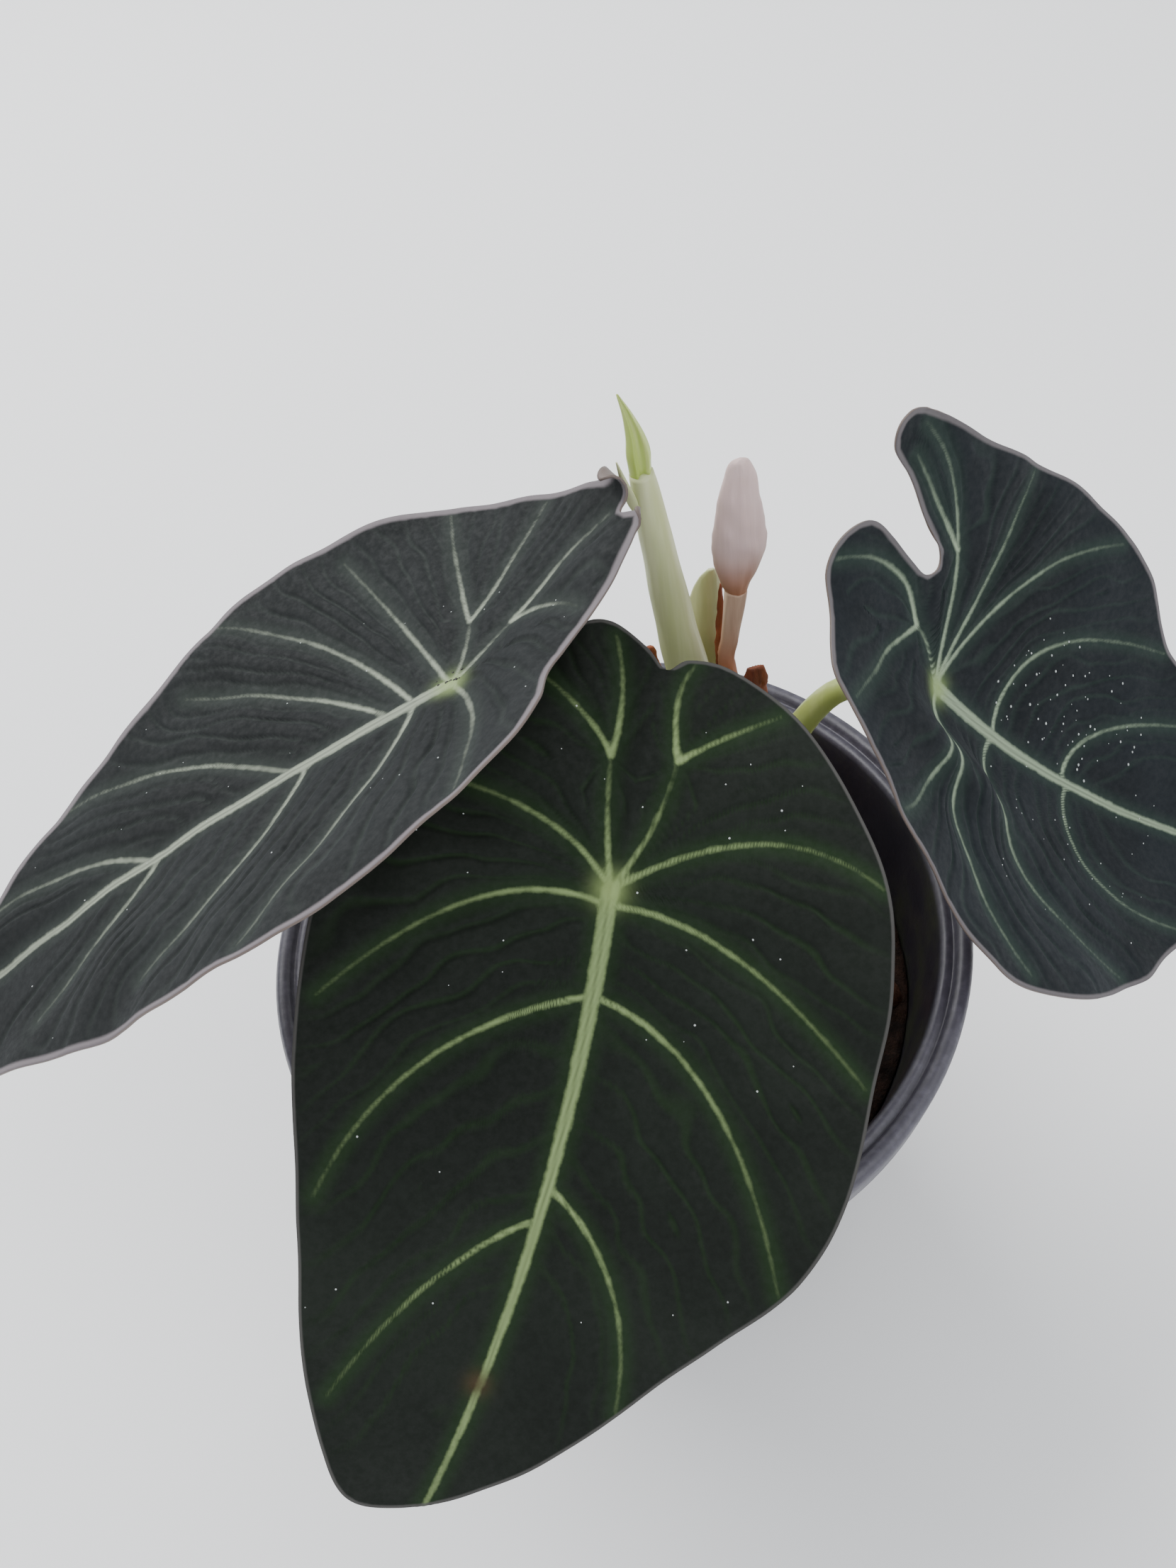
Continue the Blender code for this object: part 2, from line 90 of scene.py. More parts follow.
# where a petiole ends under its hub, as depth and radius
PETIOLE_NECK = (3.0, 1.8)
PETIOLE_TOP = (1.25, 1.75)

# rings between two points of a stem or of a flattened piece, and the sides of a stem
STEM_STEPS = 9
SCALE_STEPS = 7
STEM_SIDES = 26

# pot: the inner wall rises outwards from its foot, and the floor has drain holes
POT_FLOOR = 2.2
INNER_FOOT = 37.9
WALL_SLOPE = 0.1445
POT_SIDES = 160
DRAIN_HOLES = 6
DRAIN_RADIUS = 3.2
DRAIN_RING = 29

# the turned wall's outline, as radius and height, from the middle outwards and back
POT_PROFILE = [
    (0, 0), (37.0, 0), (38.6, 0.3), (39.4, 1.3), (40.6, 9), (46.0, 43), (52.0, 82.4),
    (52.5, 83.1), (54.6, 83.6), (55.2, 84.2), (55.9, 89.8), (55.9, 91.1), (55.3, 91.9),
    (54.6, 92.0), (53.8, 91.9), (53.4, 91.3), (53.2, 90.8), (52.9, 90.7), (52.5, 91.1),
    (52.0, 91.2), (51.3, 91.0), (50.9, 90.2), (50.5, 88.8), (47.6, 70), (42.9, 35),
    (INNER_FOOT, 2.4), (37.0, POT_FLOOR), (0, POT_FLOOR)]

# potting mix: its level, the squares of its surface, its foot, and its loose chips
SOIL_LEVEL = 72.0
SOIL_SQUARES = 110
SOIL_WALL_GAP = 0.4
SOIL_FOOT_RADIUS = 37.4
SOIL_FOOT = 2.6
CHIPS = 260
CHIP_REACH = 44.5

# specks: the leaf, the middle and half size of their patch, how many, smallest and largest radius
# the pale specks are dust, and on the right leaf also water droplets whose pale colour is a painted
# glint
PALE_SPECKS = [("right", (30, 12), (18, 9), 70, 0.10, 0.30),
               ("right", (35, -10), (22, 16), 34, 0.08, 0.20),
               ("front", (20, 0), (45, 30), 34, 0.07, 0.18),
               ("left", (30, -5), (50, 26), 34, 0.07, 0.15)]
DARK_SPECKS = [("left", (0, -1.2), (2.2, 1.4), 11, 0.16, 0.36)]

# each leaf: its hub, its scale and the seed of its waves, the directions of its midrib and
# upper face, how its plane bends, its outline on the flat plane (a third value bows the mesh
# lines that run there), its veins as root, middle and end, the colours of its face, the width
# of its pale edge, the lobe ends that roll up (place, direction, radius, tightness, width)
# and the height of its ridge
LEAVES = {
    "front": {
        "hub": (0.3, -17.4, 126.7), "size": 1.0, "seed": 5,
        "along": (-0.434, -0.711, -0.553), "face": (0.0, -0.614, 0.789),
        "bend": {"uu": -0.03, "vv": 0.06, "fold": 0.05, "lobe": -0.2, "droop": 13.0},
        "outline": [
            (88, -7), (83.5, 1.5), (76.5, 9.5), (66, 19), (53, 29), (43, 36), (31, 39), (18, 39.2),
            (5, 38.2), (-9, 34.5), (-20, 27), (-28, 18.5), (-32, 9), (-32, 3), (-30, 0.3),
            (-32.5, -3), (-34.8, -8.5), (-33, -13), (-26, -19), (-16, -25), (-4, -31),
            (8, -36.4), (22, -35.8), (38, -32.6), (55, -28.3), (70, -24), (81, -19.2), (88, -14)],
        "veins": [
            ((0, 0), (45, 1.4), (87, -4)),
            ((0, 0), (-9, -2.6), (-17, -4.1)),
            ((-17, -4.1), (-21.5, -8.8), (-25.5, -16)),
            ((-17, -4.1), (-25.5, -4.6), (-33, -7.3)),
            ((0, 0), (-9, 3.4), (-18.3, 4.6)),
            ((-18.3, 4.6), (-22.5, 9.5), (-27.5, 16.5)),
            ((-18.3, 4.6), (-26, 2.8), (-31.5, 4)),
            ((0, 0), (-7, -10.9), (-9, -27)),
            ((2, -0.5), (5.5, -17), (22, -33.4)),
            ((14.5, 0), (28, -18.5), (48, -27.8)),
            ((45, 0.5), (57, -11), (74, -20)),
            ((0, 0), (-10.5, 17.6), (-8.7, 33.9)),
            ((2, 1), (4.6, 18), (16.8, 38)),
            ((14, 1), (23, 19), (45.5, 33.7)),
            ((40, 2), (51, 13), (67, 17.5))],
        # painted light: the front leaf's yellow-green veins and green halo stand for light shining
        # through it from behind, partly also the young leaf's own greener colour
        "vein_colour": (0.23, 0.31, 0.13), "halo_colour": (0.010, 0.030, 0.006),
        "velvet": (0.0040, 0.0062, 0.0038), "sheen": 0.015,
        "margin": 0.55, "margin_colour": (0.075, 0.072, 0.068), "rolls": [], "ridge": 0.0,
    },
    "left": {
        "hub": (-14.8, 7.9, 143.7), "size": 0.975, "seed": 4,
        "along": (-0.944, -0.126, -0.306), "face": (-0.327, 0.227, 0.917),
        "bend": {"uu": -0.02, "uuu": -0.01, "vv": 0.13, "uv": -0.07, "uvv": -0.02, "uuv": -0.08,
                 "vvv": -0.10, "fold": 0.10, "uuvv": -0.03, "lobe": 0.21, "lobe_v": -0.20},
        "outline": [
            (103, 2), (96, 9.5), (82, 17), (71, 21.6), (59, 26), (48, 29.5), (36, 31.8), (22, 34),
            (10, 32.5), (-2, 29), (-9, 25), (-13, 20), (-14.8, 12.5), (-19.5, 6.5), (-26.5, 1),
            (-31, -2.4), (-33.5, -5), (-31, -8.3), (-34, -10.6), (-31, -15), (-24, -23),
            (-14, -30.5), (-4.6, -35.6), (8, -38.8), (21, -39.8), (32, -37.6), (48, -28.4),
            (67, -20.6), (81, -11.3), (95, -5)],
        "veins": [
            ((0, 0), (50, -1), (101, 1)),
            ((0, 0), (5.5, -19), (11, -35)),
            ((6, -1), (18, -22), (34, -35.5)),
            ((10, -1), (24, -15.5), (42, -26)),
            ((26, -1), (45, -14.5), (68, -20)),
            ((51, -1), (66, -8), (84, -9.5)),
            ((0, 0), (-3, -5.5), (-4.9, -11)),
            ((-4.9, -11), (-5.4, -20.7), (-7.5, -33)),
            ((-4.9, -11), (-13.5, -16.7), (-22, -23)),
            ((0, 0), (-6, -3.4), (-10.8, -5.6)),
            ((-10.8, -5.6), (-21, -9.6), (-29.5, -10)),
            ((-10.8, -5.6), (-16.3, -4), (-20.5, 1.5)),
            ((0, 0), (-2.8, 12), (0, 28)),
            ((6, 0), (16, 16), (33, 30)),
            ((24, 0), (35, 12.8), (52, 21)),
            ((50, -1), (58, 5), (73, 14))],
        "vein_colour": (0.28, 0.31, 0.24), "halo_colour": (0.026, 0.034, 0.028),
        "velvet": (0.0048, 0.0060, 0.0060), "sheen": 0.03,
        "margin": 1.15, "margin_colour": (0.20, 0.175, 0.185), "rolls": [
            ((-31.0, -12.0), (-0.97, -0.24), 1.45, 2.1, 4.6),
            ((-32.4, -4.2), (-0.95, 0.3), 0.6, 1.8, 2.2)], "ridge": 0.0,
    },
    "right": {
        "hub": (54.3, 11.9, 118.0), "size": 1.0, "seed": 5,
        "along": (0.563, -0.053, -0.825), "face": (0.677, -0.543, 0.497),
        "bend": {"uu": 0.13, "uuu": 0.02, "uv": -0.05, "uvv": 0.01, "vvv": 0.01, "fold": 0.37,
                 "lobe": -0.05, "lobe_v": 0.09},
        "outline": [
            (90, 7), (82, 12.5), (70, 19.5), (58, 25), (46, 29.3), (36, 34.5), (25, 38.1),
            (14, 39), (4, 37.6), (-7, 34), (-19.5, 28.9, 6.2), (-28, 26.3, 14.3), (-33, 24, 19),
            (-34.6, 20.8, 22), (-32.5, 18.6, 21.2), (-27, 18.2, 16.1), (-20, 16.2, 10.2),
            (-14, 14.8, 5.2), (-12.3, 12.4, 3.6), (-15, 10.3), (-24, 10.4), (-29.5, 9.6),
            (-32.3, 5.5), (-31.5, 1), (-28.6, -4), (-28, -12), (-24, -16), (-16.3, -22.2),
            (-9, -28.8), (-1.6, -33), (6, -37.4), (15, -39.9), (26, -38.3), (38, -34),
            (49, -27.8), (59, -18.5), (70, -10), (82, -1)],
        "veins": [
            ((0, 0), (40, 1.2), (88, 7)),
            ((0, 0), (-5, 3.8), (-9.5, 5)),
            ((-9.5, 5), (-20, 8), (-31, 3)),
            ((-9.5, 5), (-14, -1.5), (-23, -14)),
            ((0, 0), (-12, 18.7), (-30, 24)),
            ((-10, 17), (-18.5, 18.8), (-28, 20.5)),
            ((0, 0), (-1, 20), (-4, 34)),
            ((0, 0), (7.5, 22), (22, 37)),
            ((16.5, 1), (20, 17.5), (44, 29)),
            ((35.5, 1.5), (40, 12.5), (60, 22)),
            ((16.4, 0), (18.5, -18), (43.7, -29.4)),
            ((36.6, 0), (41.5, -13.5), (61, -15)),
            ((0, 0), (5, -22.5), (19, -37.5)),
            ((0, 0), (-3, -16), (-11, -25))],
        "vein_colour": (0.28, 0.35, 0.24), "halo_colour": (0.020, 0.038, 0.028),
        "velvet": (0.0040, 0.0060, 0.0078), "sheen": 0.035,
        "margin": 0.80, "margin_colour": (0.15, 0.135, 0.14), "rolls": [], "ridge": 3.6,
    },
}

# stems: centre points and radii, from below the soil upwards
PETIOLES = {
    "front": [(17, 11, 62, 3.0), (17, 11, 70, 2.9), (17, 11, 77, 2.8), (15, 4, 98, 2.5),
              (9, -7, 116, 2.2)],
    "left": [(14.5, 22, 62, 3.1), (14.5, 22, 70, 3.0), (14.5, 22, 77, 2.9), (8, 26, 104, 2.5),
             (-4, 25, 126, 2.1), (-11, 17, 136.5, 1.9)],
    "right": [(27, 13, 62, 2.9), (27, 13, 70, 2.8), (27, 13, 77, 2.7), (31, 18, 97, 2.3),
              (41, 19, 113, 2.0)],
}
SHOOT = [(23.5, 28, 62, 4.3), (23.5, 28, 70, 4.3), (23.5, 28, 77, 4.3), (21.3, 27.5, 104, 3.7),
         (19.2, 27, 119, 3.3), (17.6, 27, 134, 2.8), (16.7, 27, 144.4, 2.4),
         (16.0, 27, 152.5, 2.0), (15.6, 27, 156.5, 1.7)]
SPATHE_STALK = [(31, 20, 62, 1.9), (31, 20, 70, 1.9), (31, 20, 77, 1.8), (27.6, 22.5, 103, 1.5),
                (25.3, 24, 118.6, 1.3), (25.9, 24, 124.8, 1.3), (26.8, 24, 131.3, 1.5),
                (27.2, 24, 134.6, 1.6)]

# flattened pieces: centre points, half width, half thickness, and turn about Z in degrees
ROLLED_LEAF = [(15.6, 27, 155.6, 1.5, 1.2, 10), (15.6, 27, 157.5, 1.6, 1.2, 10),
               (15.6, 27, 159.8, 1.7, 1.1, 10), (15.4, 27, 162.5, 1.3, 0.9, 10),
               (14.7, 27, 166, 0.7, 0.6, 10), (13.7, 27, 169.3, 0.15, 0.15, 10)]
BRACT = [(14.4, 26.3, 150.5, 0.5, 0.3, -35), (13.9, 25.9, 152, 0.8, 0.3, -35),
         (13.5, 25.8, 154, 0.9, 0.28, -35), (12.9, 25.9, 157, 0.5, 0.25, -35),
         (12.4, 26, 159.8, 0.12, 0.12, -35)]
FADED_SPATHE = [(27.2, 24, 134.0, 1.5, 1.3, 0), (27.5, 24, 138, 3.0, 1.5, 0),
                (28.0, 24, 142, 4.0, 1.7, 0), (28.1, 24, 146, 3.7, 1.7, 0),
                (28.2, 24, 151.5, 2.9, 1.5, 0), (28.4, 24, 155.3, 2.1, 1.2, 0),
                (28.4, 24, 157.3, 1.3, 0.8, 0), (28.4, 24, 158.0, 0.3, 0.3, 0)]
SHEATH_LEAF = [(24.5, 33.9, 62, 3.0, 0.8, 0), (24.8, 33.6, 80, 3.0, 0.8, 0),
               (24.4, 32.6, 105, 3.2, 0.7, 0), (23.6, 31.2, 118, 3.1, 0.6, 0),
               (23.9, 30.9, 127, 2.6, 0.5, 0), (24.5, 30.8, 131.4, 1.7, 0.4, 0),
               (24.9, 30.8, 133.2, 0.5, 0.3, 0)]
DRIED_RIGHT = [(33.8, 25.5, 62, 2.6, 0.6, 60), (33.5, 25.8, 85, 2.6, 0.6, 60),
               (31.2, 26.3, 104, 2.3, 0.5, 40), (30.2, 26.2, 110.5, 2.3, 0.5, 10),
               (30.4, 26.2, 114, 1.4, 0.5, 0)]
DRIED_LEFT = [(14, 33.5, 62, 2.6, 0.6, 0), (14.4, 33.2, 90, 2.2, 0.6, 0),
              (14.6, 30.5, 110, 1.5, 0.5, 0), (14.2, 28.6, 119, 1.0, 0.4, 0),
              (14.1, 28.2, 122, 0.5, 0.4, 0)]
DRIED_STRIP = [(25.0, 29.2, 112, 0.5, 0.25, 0), (25.2, 28.9, 118, 0.7, 0.25, 0),
               (25.6, 28.7, 126, 0.55, 0.2, 0), (25.9, 28.7, 132, 0.2, 0.12, 0)]

# shader values that all materials share
SHEEN_TINT = (0.7, 0.78, 0.85, 1.0)
SHEEN_ROUGHNESS = 0.42
LIGHT_DEPTH = (0.002, 0.0022, 0.0008)

# studio: colours of the floor and the sky, the sky's strength, and the floor's reach in metres
STUDIO_GREY = (0.93, 0.93, 0.93)
STUDIO_SKY = (0.93, 0.96, 1.0, 1.0)
SKY_STRENGTH = 1.05
FLOOR_REACH = 3.0


# materials, built from small node helpers

def shade(colour, share):
    return tuple(part * share for part in colour)


class Paint:
    def __init__(self, name):
        self.material = bpy.data.materials.new(name)
        self.material.use_nodes = True
        self.tree = self.material.node_tree
        self.shader = self.tree.nodes["Principled BSDF"]

    def join(self, source, socket):
        if isinstance(source, bpy.types.NodeSocket):
            self.tree.links.new(source, socket)
        elif isinstance(source, tuple) and len(source) == 3 and socket.type == "RGBA":
            socket.default_value = source + (1.0,)
        else:
            socket.default_value = source

    def attribute(self, name):
        node = self.tree.nodes.new("ShaderNodeAttribute")
        node.attribute_name = name
        return node.outputs["Fac"]

    def ramp(self, value, low, high, out_low=0.0, out_high=1.0):
        node = self.tree.nodes.new("ShaderNodeMapRange")
        node.interpolation_type = "SMOOTHSTEP"
        self.join(value, node.inputs["Value"])
        node.inputs["From Min"].default_value = low
        node.inputs["From Max"].default_value = high
        node.inputs["To Min"].default_value = out_low
        node.inputs["To Max"].default_value = out_high
        return node.outputs["Result"]

    def math(self, how, first, second):
        node = self.tree.nodes.new("ShaderNodeMath")
        node.operation = how
        self.join(first, node.inputs[0])
        self.join(second, node.inputs[1])
        return node.outputs[0]

    def times(self, first, second):
        return self.math("MULTIPLY", first, second)

    def mix(self, share, first, second):
        # inputs 6 and 7 and output 2 are the colour sockets of the Mix node
        node = self.tree.nodes.new("ShaderNodeMix")
        node.data_type = "RGBA"
        self.join(share, node.inputs["Factor"])
        self.join(first, node.inputs[6])
        self.join(second, node.inputs[7])
        return node.outputs[2]

    def place(self, stretch):
        spot = self.tree.nodes.new("ShaderNodeTexCoord")
        turn = self.tree.nodes.new("ShaderNodeMapping")
        turn.inputs["Scale"].default_value = stretch
        self.tree.links.new(spot.outputs["Object"], turn.inputs["Vector"])
        return turn.outputs["Vector"]

    def noise(self, scale, detail=4.0, rough=0.55, along_z=1.0):
        # a small along_z draws the pattern out into upright streaks
        node = self.tree.nodes.new("ShaderNodeTexNoise")
        node.inputs["Scale"].default_value = scale
        node.inputs["Detail"].default_value = detail
        node.inputs["Roughness"].default_value = rough
        self.tree.links.new(self.place((1.0, 1.0, along_z)), node.inputs["Vector"])
        return node.outputs["Fac"]

    def height(self):
        spot = self.tree.nodes.new("ShaderNodeTexCoord")
        split = self.tree.nodes.new("ShaderNodeSeparateXYZ")
        self.tree.links.new(spot.outputs["Object"], split.inputs[0])
        return split.outputs["Z"]

    def bump(self, value, strength, distance):
        node = self.tree.nodes.new("ShaderNodeBump")
        node.inputs["Strength"].default_value = strength
        node.inputs["Distance"].default_value = distance
        self.tree.links.new(value, node.inputs["Height"])
        self.tree.links.new(node.outputs["Normal"], self.shader.inputs["Normal"])

    def finish(self, colour, rough, sheen=0.0, specular=0.5, inner=0.0):
        self.join(colour, self.shader.inputs["Base Color"])
        self.join(rough, self.shader.inputs["Roughness"])
        self.shader.inputs["Sheen Weight"].default_value = sheen
        self.shader.inputs["Sheen Roughness"].default_value = SHEEN_ROUGHNESS
        self.shader.inputs["Sheen Tint"].default_value = SHEEN_TINT
        self.shader.inputs["Specular IOR Level"].default_value = specular
        self.shader.inputs["Subsurface Weight"].default_value = inner
        self.shader.inputs["Subsurface Radius"].default_value = LIGHT_DEPTH
        return self.material


def velvet_top(key, leaf):
    paint = Paint("velvet_" + key)
    vein = paint.attribute("vein_gap")
    cloud = paint.noise(38.0, 5.0)
    grain = paint.noise(900.0, 3.0, 0.7)
    rag = paint.noise(420.0, 3.0, 0.7)

    # dark velvet, with fine pale lines and a halo beside each vein; the front leaf's green halo is
    # painted light shining through the leaf from behind
    worn_velvet = tuple(part * 1.7 + 0.001 for part in leaf["velvet"])
    ground = paint.mix(paint.ramp(cloud, 0.35, 0.7), leaf["velvet"], worn_velvet)
    lines = paint.times(paint.attribute("fine_line"), 0.5)
    ground = paint.mix(lines, ground, leaf["halo_colour"])
    halo = paint.times(paint.ramp(vein, 2.6, 0.0), 0.6)
    ground = paint.mix(halo, ground, leaf["halo_colour"])

    # the veins, with ragged edges and the midrib's fine stripes
    ragged = paint.math("ADD", paint.times(grain, 0.25), paint.times(rag, 0.55))
    core = paint.ramp(paint.math("ADD", vein, ragged), 0.72, 0.05)
    fade = paint.times(core, paint.attribute("vein_strength"))
    pale = paint.mix(paint.attribute("stripe"), leaf["vein_colour"],
                     shade(leaf["vein_colour"], 0.55))
    ground = paint.mix(fade, ground, pale)

    # the light hub, the brown blemish of the front leaf, and the pale edge
    hub_green = (0.27, 0.36, 0.13)
    blemish_brown = (0.050, 0.027, 0.012)
    ground = paint.mix(paint.times(paint.attribute("hub_glow"), 0.75), ground, hub_green)
    if key == "front":
        ground = paint.mix(paint.times(paint.attribute("blemish"), 0.8), ground, blemish_brown)
    edge = paint.ramp(paint.attribute("margin_gap"), leaf["margin"], leaf["margin"] * 0.45)
    ground = paint.mix(paint.times(edge, 0.85), ground, leaf["margin_colour"])
    paint.bump(grain, 0.1, 0.00005)
    rough = paint.ramp(grain, 0.2, 0.8, 0.62, 0.86)
    return paint.finish(ground, rough, sheen=leaf["sheen"], specular=0.22)


def velvet_underside():
    dull_brown = (0.105, 0.075, 0.068)
    pale_brown = (0.16, 0.125, 0.105)
    vein_green = (0.26, 0.30, 0.14)
    paint = Paint("leaf_underside")
    cloud = paint.noise(60.0)
    ground = paint.mix(cloud, dull_brown, pale_brown)
    vein = paint.ramp(paint.attribute("vein_gap"), 0.7, 0.0)
    ground = paint.mix(paint.times(vein, 0.7), ground, vein_green)
    paint.bump(cloud, 0.2, 0.0002)
    return paint.finish(ground, 0.55, sheen=0.05)


def plain_green(name, base, streak, rough=0.42):
    paint = Paint(name)
    lines = paint.noise(330.0, 3.0, 0.6, along_z=0.06)
    cloud = paint.noise(90.0, 3.0)
    colour = paint.mix(paint.ramp(lines, 0.35, 0.7), base, streak)
    colour = paint.mix(paint.times(cloud, 0.35), colour, shade(base, 0.62))
    paint.bump(lines, 0.35, 0.0003)
    return paint.finish(colour, rough, inner=0.12)


def dried_brown():
    red_brown = (0.30, 0.085, 0.035)
    deep_brown = (0.12, 0.035, 0.018)
    paint = Paint("dried_sheath")
    lines = paint.noise(420.0, 5.0, 0.7, along_z=0.12)
    cloud = paint.noise(150.0)
    colour = paint.mix(paint.ramp(lines, 0.3, 0.7), red_brown, deep_brown)
    colour = paint.mix(paint.ramp(cloud, 0.45, 0.75), colour, shade(red_brown, 1.35))
    paint.bump(lines, 0.8, 0.0005)
    return paint.finish(colour, 0.8)


def spathe_paint():
    faded_pink = (0.66, 0.50, 0.48)
    pink_streak = (0.55, 0.40, 0.38)
    tan_patch = (0.50, 0.33, 0.25)
    brown_foot = (0.33, 0.145, 0.075)
    paint = Paint("faded_spathe")
    lines = paint.noise(380.0, 4.0, 0.6, along_z=0.05)
    cloud = paint.noise(110.0, 5.0)
    colour = paint.mix(paint.ramp(lines, 0.3, 0.75), faded_pink, pink_streak)
    colour = paint.mix(paint.ramp(cloud, 0.55, 0.8), colour, tan_patch)
    colour = paint.mix(paint.ramp(paint.height(), 0.1445, 0.1345), colour, brown_foot)
    paint.bump(lines, 0.5, 0.0004)
    return paint.finish(colour, 0.62, inner=0.1)


def stalk_paint():
    rusty_foot = (0.44, 0.13, 0.045)
    pink_neck = (0.58, 0.40, 0.29)
    dark_streak = (0.20, 0.055, 0.020)
    paint = Paint("spathe_stalk")
    lines = paint.noise(300.0, 4.0, 0.6, along_z=0.08)
    colour = paint.mix(paint.ramp(paint.height(), 0.116, 0.131), rusty_foot, pink_neck)
    colour = paint.mix(paint.ramp(lines, 0.35, 0.75, 0.0, 0.6), colour, dark_streak)
    paint.bump(lines, 0.6, 0.0004)
    return paint.finish(colour, 0.6)


def pot_paint():
    dark_plastic = (0.024, 0.022, 0.030)
    dull_plastic = (0.040, 0.037, 0.050)
    algae_green = (0.040, 0.050, 0.016)
    lip_sheen_grey = (0.125, 0.117, 0.155)
    paint = Paint("nursery_pot")
    cloud = paint.noise(55.0, 6.0, 0.65)
    fine = paint.noise(700.0, 3.0, 0.6)
    colour = paint.mix(paint.ramp(cloud, 0.3, 0.8), dark_plastic, dull_plastic)
    algae = paint.times(paint.attribute("inner_wall"), paint.ramp(cloud, 0.42, 0.62))
    colour = paint.mix(paint.times(algae, 0.55), colour, algae_green)
    # painted sheen: the top and outer lip are lightened to a lilac grey, broken up by fine noise
    lip_sheen_share = paint.times(paint.attribute("lip"), paint.ramp(fine, 0.35, 0.8, 0.25, 0.6))
    colour = paint.mix(lip_sheen_share, colour, lip_sheen_grey)
    paint.bump(fine, 0.25, 0.0002)
    return paint.finish(colour, paint.ramp(cloud, 0.3, 0.7, 0.34, 0.52))


def soil_paint():
    black_crumb = (0.014, 0.010, 0.009)
    brown_crumb = (0.050, 0.026, 0.018)
    dark_chip = (0.045, 0.020, 0.014)
    light_chip = (0.17, 0.075, 0.045)
    dust = (0.11, 0.085, 0.065)
    paint = Paint("bark_mix")
    cloud = paint.noise(240.0, 6.0, 0.7)
    fine = paint.noise(1100.0, 4.0, 0.7)
    colour = paint.mix(paint.ramp(cloud, 0.35, 0.7), black_crumb, brown_crumb)
    chip = paint.mix(paint.attribute("tone"), dark_chip, light_chip)
    colour = paint.mix(paint.attribute("chip"), colour, chip)
    colour = paint.mix(paint.ramp(fine, 0.6, 0.8, 0.0, 0.5), colour, dust)
    paint.bump(fine, 0.9, 0.0008)
    return paint.finish(colour, 0.92, specular=0.2)


def speck_paint(name, colour):
    paint = Paint(name)
    cloud = paint.noise(1500.0, 2.0)
    return paint.finish(paint.mix(paint.times(cloud, 0.5), colour, shade(colour, 0.5)), 0.5)


# steps that several pieces share

def add_piece(name, bm, materials, replaced=(), attributes=None, outward=True):
    if outward:
        bmesh.ops.recalc_face_normals(bm, faces=bm.faces)
    mesh = bpy.data.meshes.new(name)
    bm.to_mesh(mesh)
    bm.free()
    for key, values in (attributes or {}).items():
        kept = mesh.attributes.new(key, "FLOAT", "POINT")
        kept.data.foreach_set("value", np.asarray(values, np.float32))
    piece = bpy.data.objects.new(name, mesh)
    bpy.context.scene.collection.objects.link(piece)
    for material in materials:
        mesh.materials.append(material)
    for face in mesh.polygons:
        face.use_smooth = True
    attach(piece, "root")
    if replaced:
        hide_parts(*replaced)
    return piece


def between(before, start, end, after, step):
    # a place on the smooth line from start to end, which also heeds its neighbours
    return 0.5 * (2 * start + (end - before) * step
                  + (2 * before - 5 * start + 4 * end - after) * step ** 2
                  + (3 * start - before - 3 * end + after) * step ** 3)


def smooth_rows(rows, steps):
    table = np.array(rows, float)
    padded = np.vstack([2 * table[0] - table[1], table, 2 * table[-1] - table[-2]])
    fine = []
    for k in range(len(table) - 1):
        for step in np.linspace(0, 1, steps, endpoint=False):
            fine.append(between(*padded[k:k + 4], step))
    fine.append(table[-1])
    return np.array(fine)


def bridge_rings(bm, rings):
    for low, high in zip(rings, rings[1:]):
        edges = set()
        for ring in (low, high):
            for k, item in enumerate(ring):
                edges.add(bm.edges.get((item, ring[(k + 1) % len(ring)])))
        bmesh.ops.bridge_loops(bm, edges=list(edges))
    bmesh.ops.contextual_create(bm, geom=rings[0])
    bmesh.ops.contextual_create(bm, geom=rings[-1])


def stem_bmesh(points, ribs, rib_depth, uneven=0.05):
    # round rings square to the path, with fine ribs and a slightly uneven outline
    fine = smooth_rows(points, STEM_STEPS)
    bm = bmesh.new()
    rings = []
    for k, (x, y, z, radius) in enumerate(fine):
        ahead = fine[min(k + 1, len(fine) - 1)][:3] - fine[max(k - 1, 0)][:3]
        turn = Vector(ahead).to_track_quat("Z", "Y").to_matrix().to_4x4()
        ring = bmesh.ops.create_circle(bm, segments=STEM_SIDES, radius=1.0)["verts"]
        for item in ring:
            angle = math.atan2(item.co.y, item.co.x)
            swell = 1.0 + rib_depth * math.cos(ribs * angle)
            swell += uneven * noise.noise(Vector((math.cos(angle) + 1.0, math.sin(angle),
                                                  z * 0.11)))
            item.co = turn @ Vector((math.cos(angle) * radius * swell,
                                     math.sin(angle) * radius * swell, 0.0))
            item.co += Vector((x, y, z))
        rings.append(ring)
    bridge_rings(bm, rings)
    bmesh.ops.scale(bm, vec=(MM, MM, MM), verts=bm.verts)
    return bm


